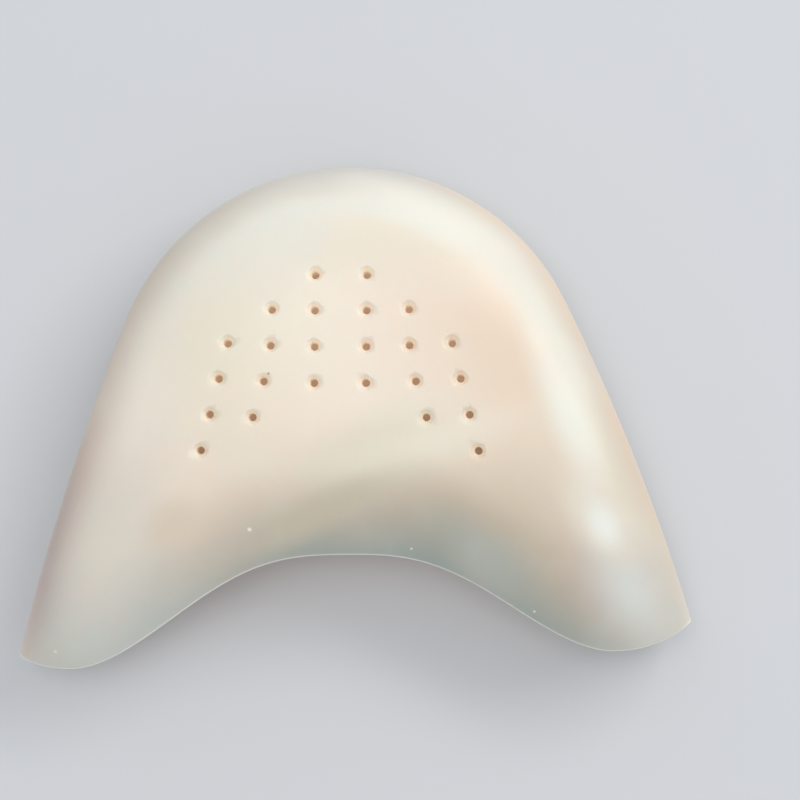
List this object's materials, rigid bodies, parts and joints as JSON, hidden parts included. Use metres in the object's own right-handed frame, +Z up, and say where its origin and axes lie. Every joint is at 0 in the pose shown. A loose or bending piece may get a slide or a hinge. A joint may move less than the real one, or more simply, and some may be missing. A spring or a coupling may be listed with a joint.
{
  "type": "gel toe cap",
  "caption": "Soft hollow gel cap that covers all the toes, open at the foot side, with a round toe end, two side lobes, an arched rim and tapered breathing holes in its upper.",
  "frame": {"origin": "on the flat sole, on the centre line, half the cap's length behind the toe tip", "axes": "+X across the cap to its right, +Y to the toe tip, +Z up from the surface that the sole lies on"},
  "size_m": [0.1145, 0.0856, 0.0243],
  "materials": {
    "gel": "milky, translucent, satin"
  },
  "bodies": {
    "root": {"toe_cap": "gel"}
  },
  "joints": []
}
